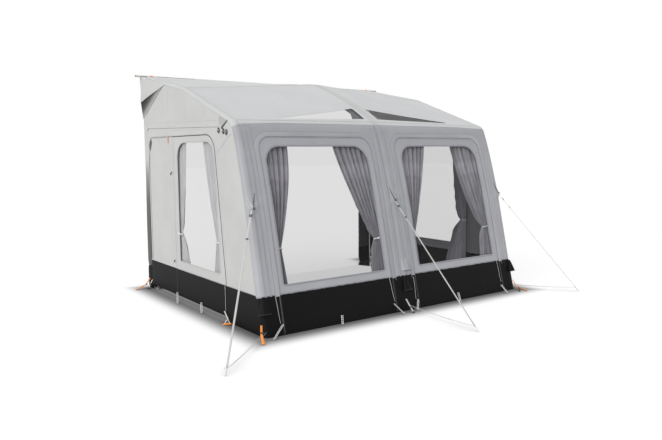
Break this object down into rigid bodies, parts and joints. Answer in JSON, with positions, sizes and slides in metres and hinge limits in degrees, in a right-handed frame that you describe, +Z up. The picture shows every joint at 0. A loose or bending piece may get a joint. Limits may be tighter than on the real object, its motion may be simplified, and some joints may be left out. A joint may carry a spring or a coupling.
{
  "type": "inflatable caravan awning",
  "caption": "Inflatable caravan awning with zipped fold-down front panels, side doors, curtained windows, skylights and storm straps.",
  "frame": {"origin": "on the ground under the middle of the footprint, without the storm straps and their pegs", "axes": "+X along the caravan towards the right side seen from the front, -Y the way the front wall faces, +Z up"},
  "size_m": [4.4444, 3.648, 2.4515],
  "materials": {
    "roof_fabric": "coated polyester, pale grey",
    "wall_fabric": "coated polyester, mid grey",
    "mudwall_fabric": "PVC-coated cloth, black",
    "window_film": "clear PVC film",
    "skylight_film": "tinted PVC film",
    "curtain_fabric": "light woven polyester, grey",
    "beam_sleeve": "smooth sleeve over an inflated tube",
    "rail_aluminium": "extruded, pale",
    "pole_steel": "drawn tube",
    "pad_foam": "closed foam in black cloth",
    "strap_webbing": "woven polyester webbing and cord",
    "moulded_hardware": "moulded, black",
    "orange_trim": "bright webbing tab"
  },
  "bodies": {
    "awning": {"awning_rail": "rail_aluminium", "roof_bead": "roof_fabric", "roof_canopy": "roof_fabric", "skylight_left": "skylight_film", "skylight_right": "skylight_film", "air_beam_left": "beam_sleeve", "air_beam_centre": "beam_sleeve", "air_beam_right": "beam_sleeve", "cross_beam_left": "beam_sleeve", "cross_beam_right": "beam_sleeve", "front_border": "wall_fabric", "centre_mudwall": "mudwall_fabric", "side_mudwall_left": "mudwall_fabric", "side_mudwall_right": "mudwall_fabric", "side_wall_left": "roof_fabric", "side_wall_right": "roof_fabric", "side_window_left": "window_film", "side_window_right": "window_film", "rear_pad_left": "pad_foam", "rear_pad_right": "pad_foam", "rear_wing_left": "roof_fabric", "rear_wing_right": "roof_fabric", "rear_pole_upper_left": "pole_steel", "rear_pole_upper_right": "pole_steel", "side_curtain_left_rear": "curtain_fabric", "side_curtain_left_front": "curtain_fabric", "side_curtain_right_rear": "curtain_fabric", "side_curtain_right_front": "curtain_fabric", "inflation_valve": "moulded_hardware", "guy_strap_left": "strap_webbing", "guy_strap_centre": "strap_webbing", "guy_strap_right": "strap_webbing", "guy_anchor_left": "strap_webbing", "guy_anchor_centre": "strap_webbing", "guy_anchor_right": "strap_webbing"},
    "left_front_panel": {"front_panel_left": "wall_fabric", "front_window_left": "window_film", "front_mudwall_left": "mudwall_fabric", "front_curtain_left_inner": "curtain_fabric", "front_curtain_left_outer": "curtain_fabric"},
    "right_front_panel": {"front_panel_right": "wall_fabric", "front_window_right": "window_film", "front_mudwall_right": "mudwall_fabric", "front_curtain_right_inner": "curtain_fabric", "front_curtain_right_outer": "curtain_fabric"},
    "left_door": {"side_door_left": "roof_fabric", "door_mudwall_left": "mudwall_fabric"},
    "right_door": {"side_door_right": "roof_fabric", "door_mudwall_right": "mudwall_fabric"},
    "left_door_slider": {"door_zip_left": "orange_trim"},
    "right_door_slider": {"door_zip_right": "orange_trim"},
    "left_valve_hood": {"valve_hood_left": "mudwall_fabric"},
    "centre_valve_hood": {"valve_hood_centre": "mudwall_fabric"},
    "right_valve_hood": {"valve_hood_right": "mudwall_fabric"},
    "cable_hood": {"cable_hood": "wall_fabric"},
    "left_pole_foot": {"rear_pole_lower_left": "pole_steel"},
    "right_pole_foot": {"rear_pole_lower_right": "pole_steel"},
    "left_strap_buckle": {"strap_buckle_left": "moulded_hardware"},
    "centre_strap_buckle": {"strap_buckle_centre": "moulded_hardware"},
    "right_strap_buckle": {"strap_buckle_right": "moulded_hardware"}
  },
  "joints": [
    {"name": "left_front_panel_fold", "type": "hinge", "parent": "awning", "child": "left_front_panel", "pos_m": [-0.8025, -1.32307, 0], "axis": [1, 0, 0], "range_deg": [0, 95]},
    {"name": "right_front_panel_fold", "type": "hinge", "parent": "awning", "child": "right_front_panel", "pos_m": [0.8025, -1.32307, 0], "axis": [1, 0, 0], "range_deg": [0, 95]},
    {"name": "left_door_swing", "type": "hinge", "parent": "awning", "child": "left_door", "pos_m": [-1.65, 0.54693, 0.9], "axis": [0, 0, 1], "range_deg": [0, 115]},
    {"name": "right_door_swing", "type": "hinge", "parent": "awning", "child": "right_door", "pos_m": [1.65, 0.54693, 0.9], "axis": [0, 0, -1], "range_deg": [0, 115]},
    {"name": "left_door_zip_run", "type": "slide", "parent": "left_door", "child": "left_door_slider", "axis": [0, 1, 0], "range_m": [0, 0.42]},
    {"name": "right_door_zip_run", "type": "slide", "parent": "right_door", "child": "right_door_slider", "axis": [0, 1, 0], "range_m": [0, 0.42]},
    {"name": "left_valve_hood_lift", "type": "hinge", "parent": "awning", "child": "left_valve_hood", "pos_m": [-1.62, -1.2418, 0.32714], "axis": [-1, 0, 0], "range_deg": [0, 60]},
    {"name": "centre_valve_hood_lift", "type": "hinge", "parent": "awning", "child": "centre_valve_hood", "pos_m": [0, -1.2418, 0.32714], "axis": [-1, 0, 0], "range_deg": [0, 60]},
    {"name": "right_valve_hood_lift", "type": "hinge", "parent": "awning", "child": "right_valve_hood", "pos_m": [1.62, -1.2418, 0.32714], "axis": [-1, 0, 0], "range_deg": [0, 60]},
    {"name": "cable_hood_lift", "type": "hinge", "parent": "awning", "child": "cable_hood", "pos_m": [0.035, -1.20001, 0.50713], "axis": [-1, 0, 0], "range_deg": [0, 75]},
    {"name": "left_pole_slide", "type": "slide", "parent": "awning", "child": "left_pole_foot", "axis": [0, 0, 1], "range_m": [0, 0.15]},
    {"name": "right_pole_slide", "type": "slide", "parent": "awning", "child": "right_pole_foot", "axis": [0, 0, 1], "range_m": [0, 0.15]},
    {"name": "left_buckle_slide", "type": "slide", "parent": "awning", "child": "left_strap_buckle", "axis": [-0.4489, -0.5713, -0.687], "range_m": [0, 0.3]},
    {"name": "centre_buckle_slide", "type": "slide", "parent": "awning", "child": "centre_strap_buckle", "axis": [-0.0581, -0.7425, -0.6674], "range_m": [0, 0.3]},
    {"name": "right_buckle_slide", "type": "slide", "parent": "awning", "child": "right_strap_buckle", "axis": [0.3192, -0.5597, -0.7648], "range_m": [0, 0.3]}
  ]
}
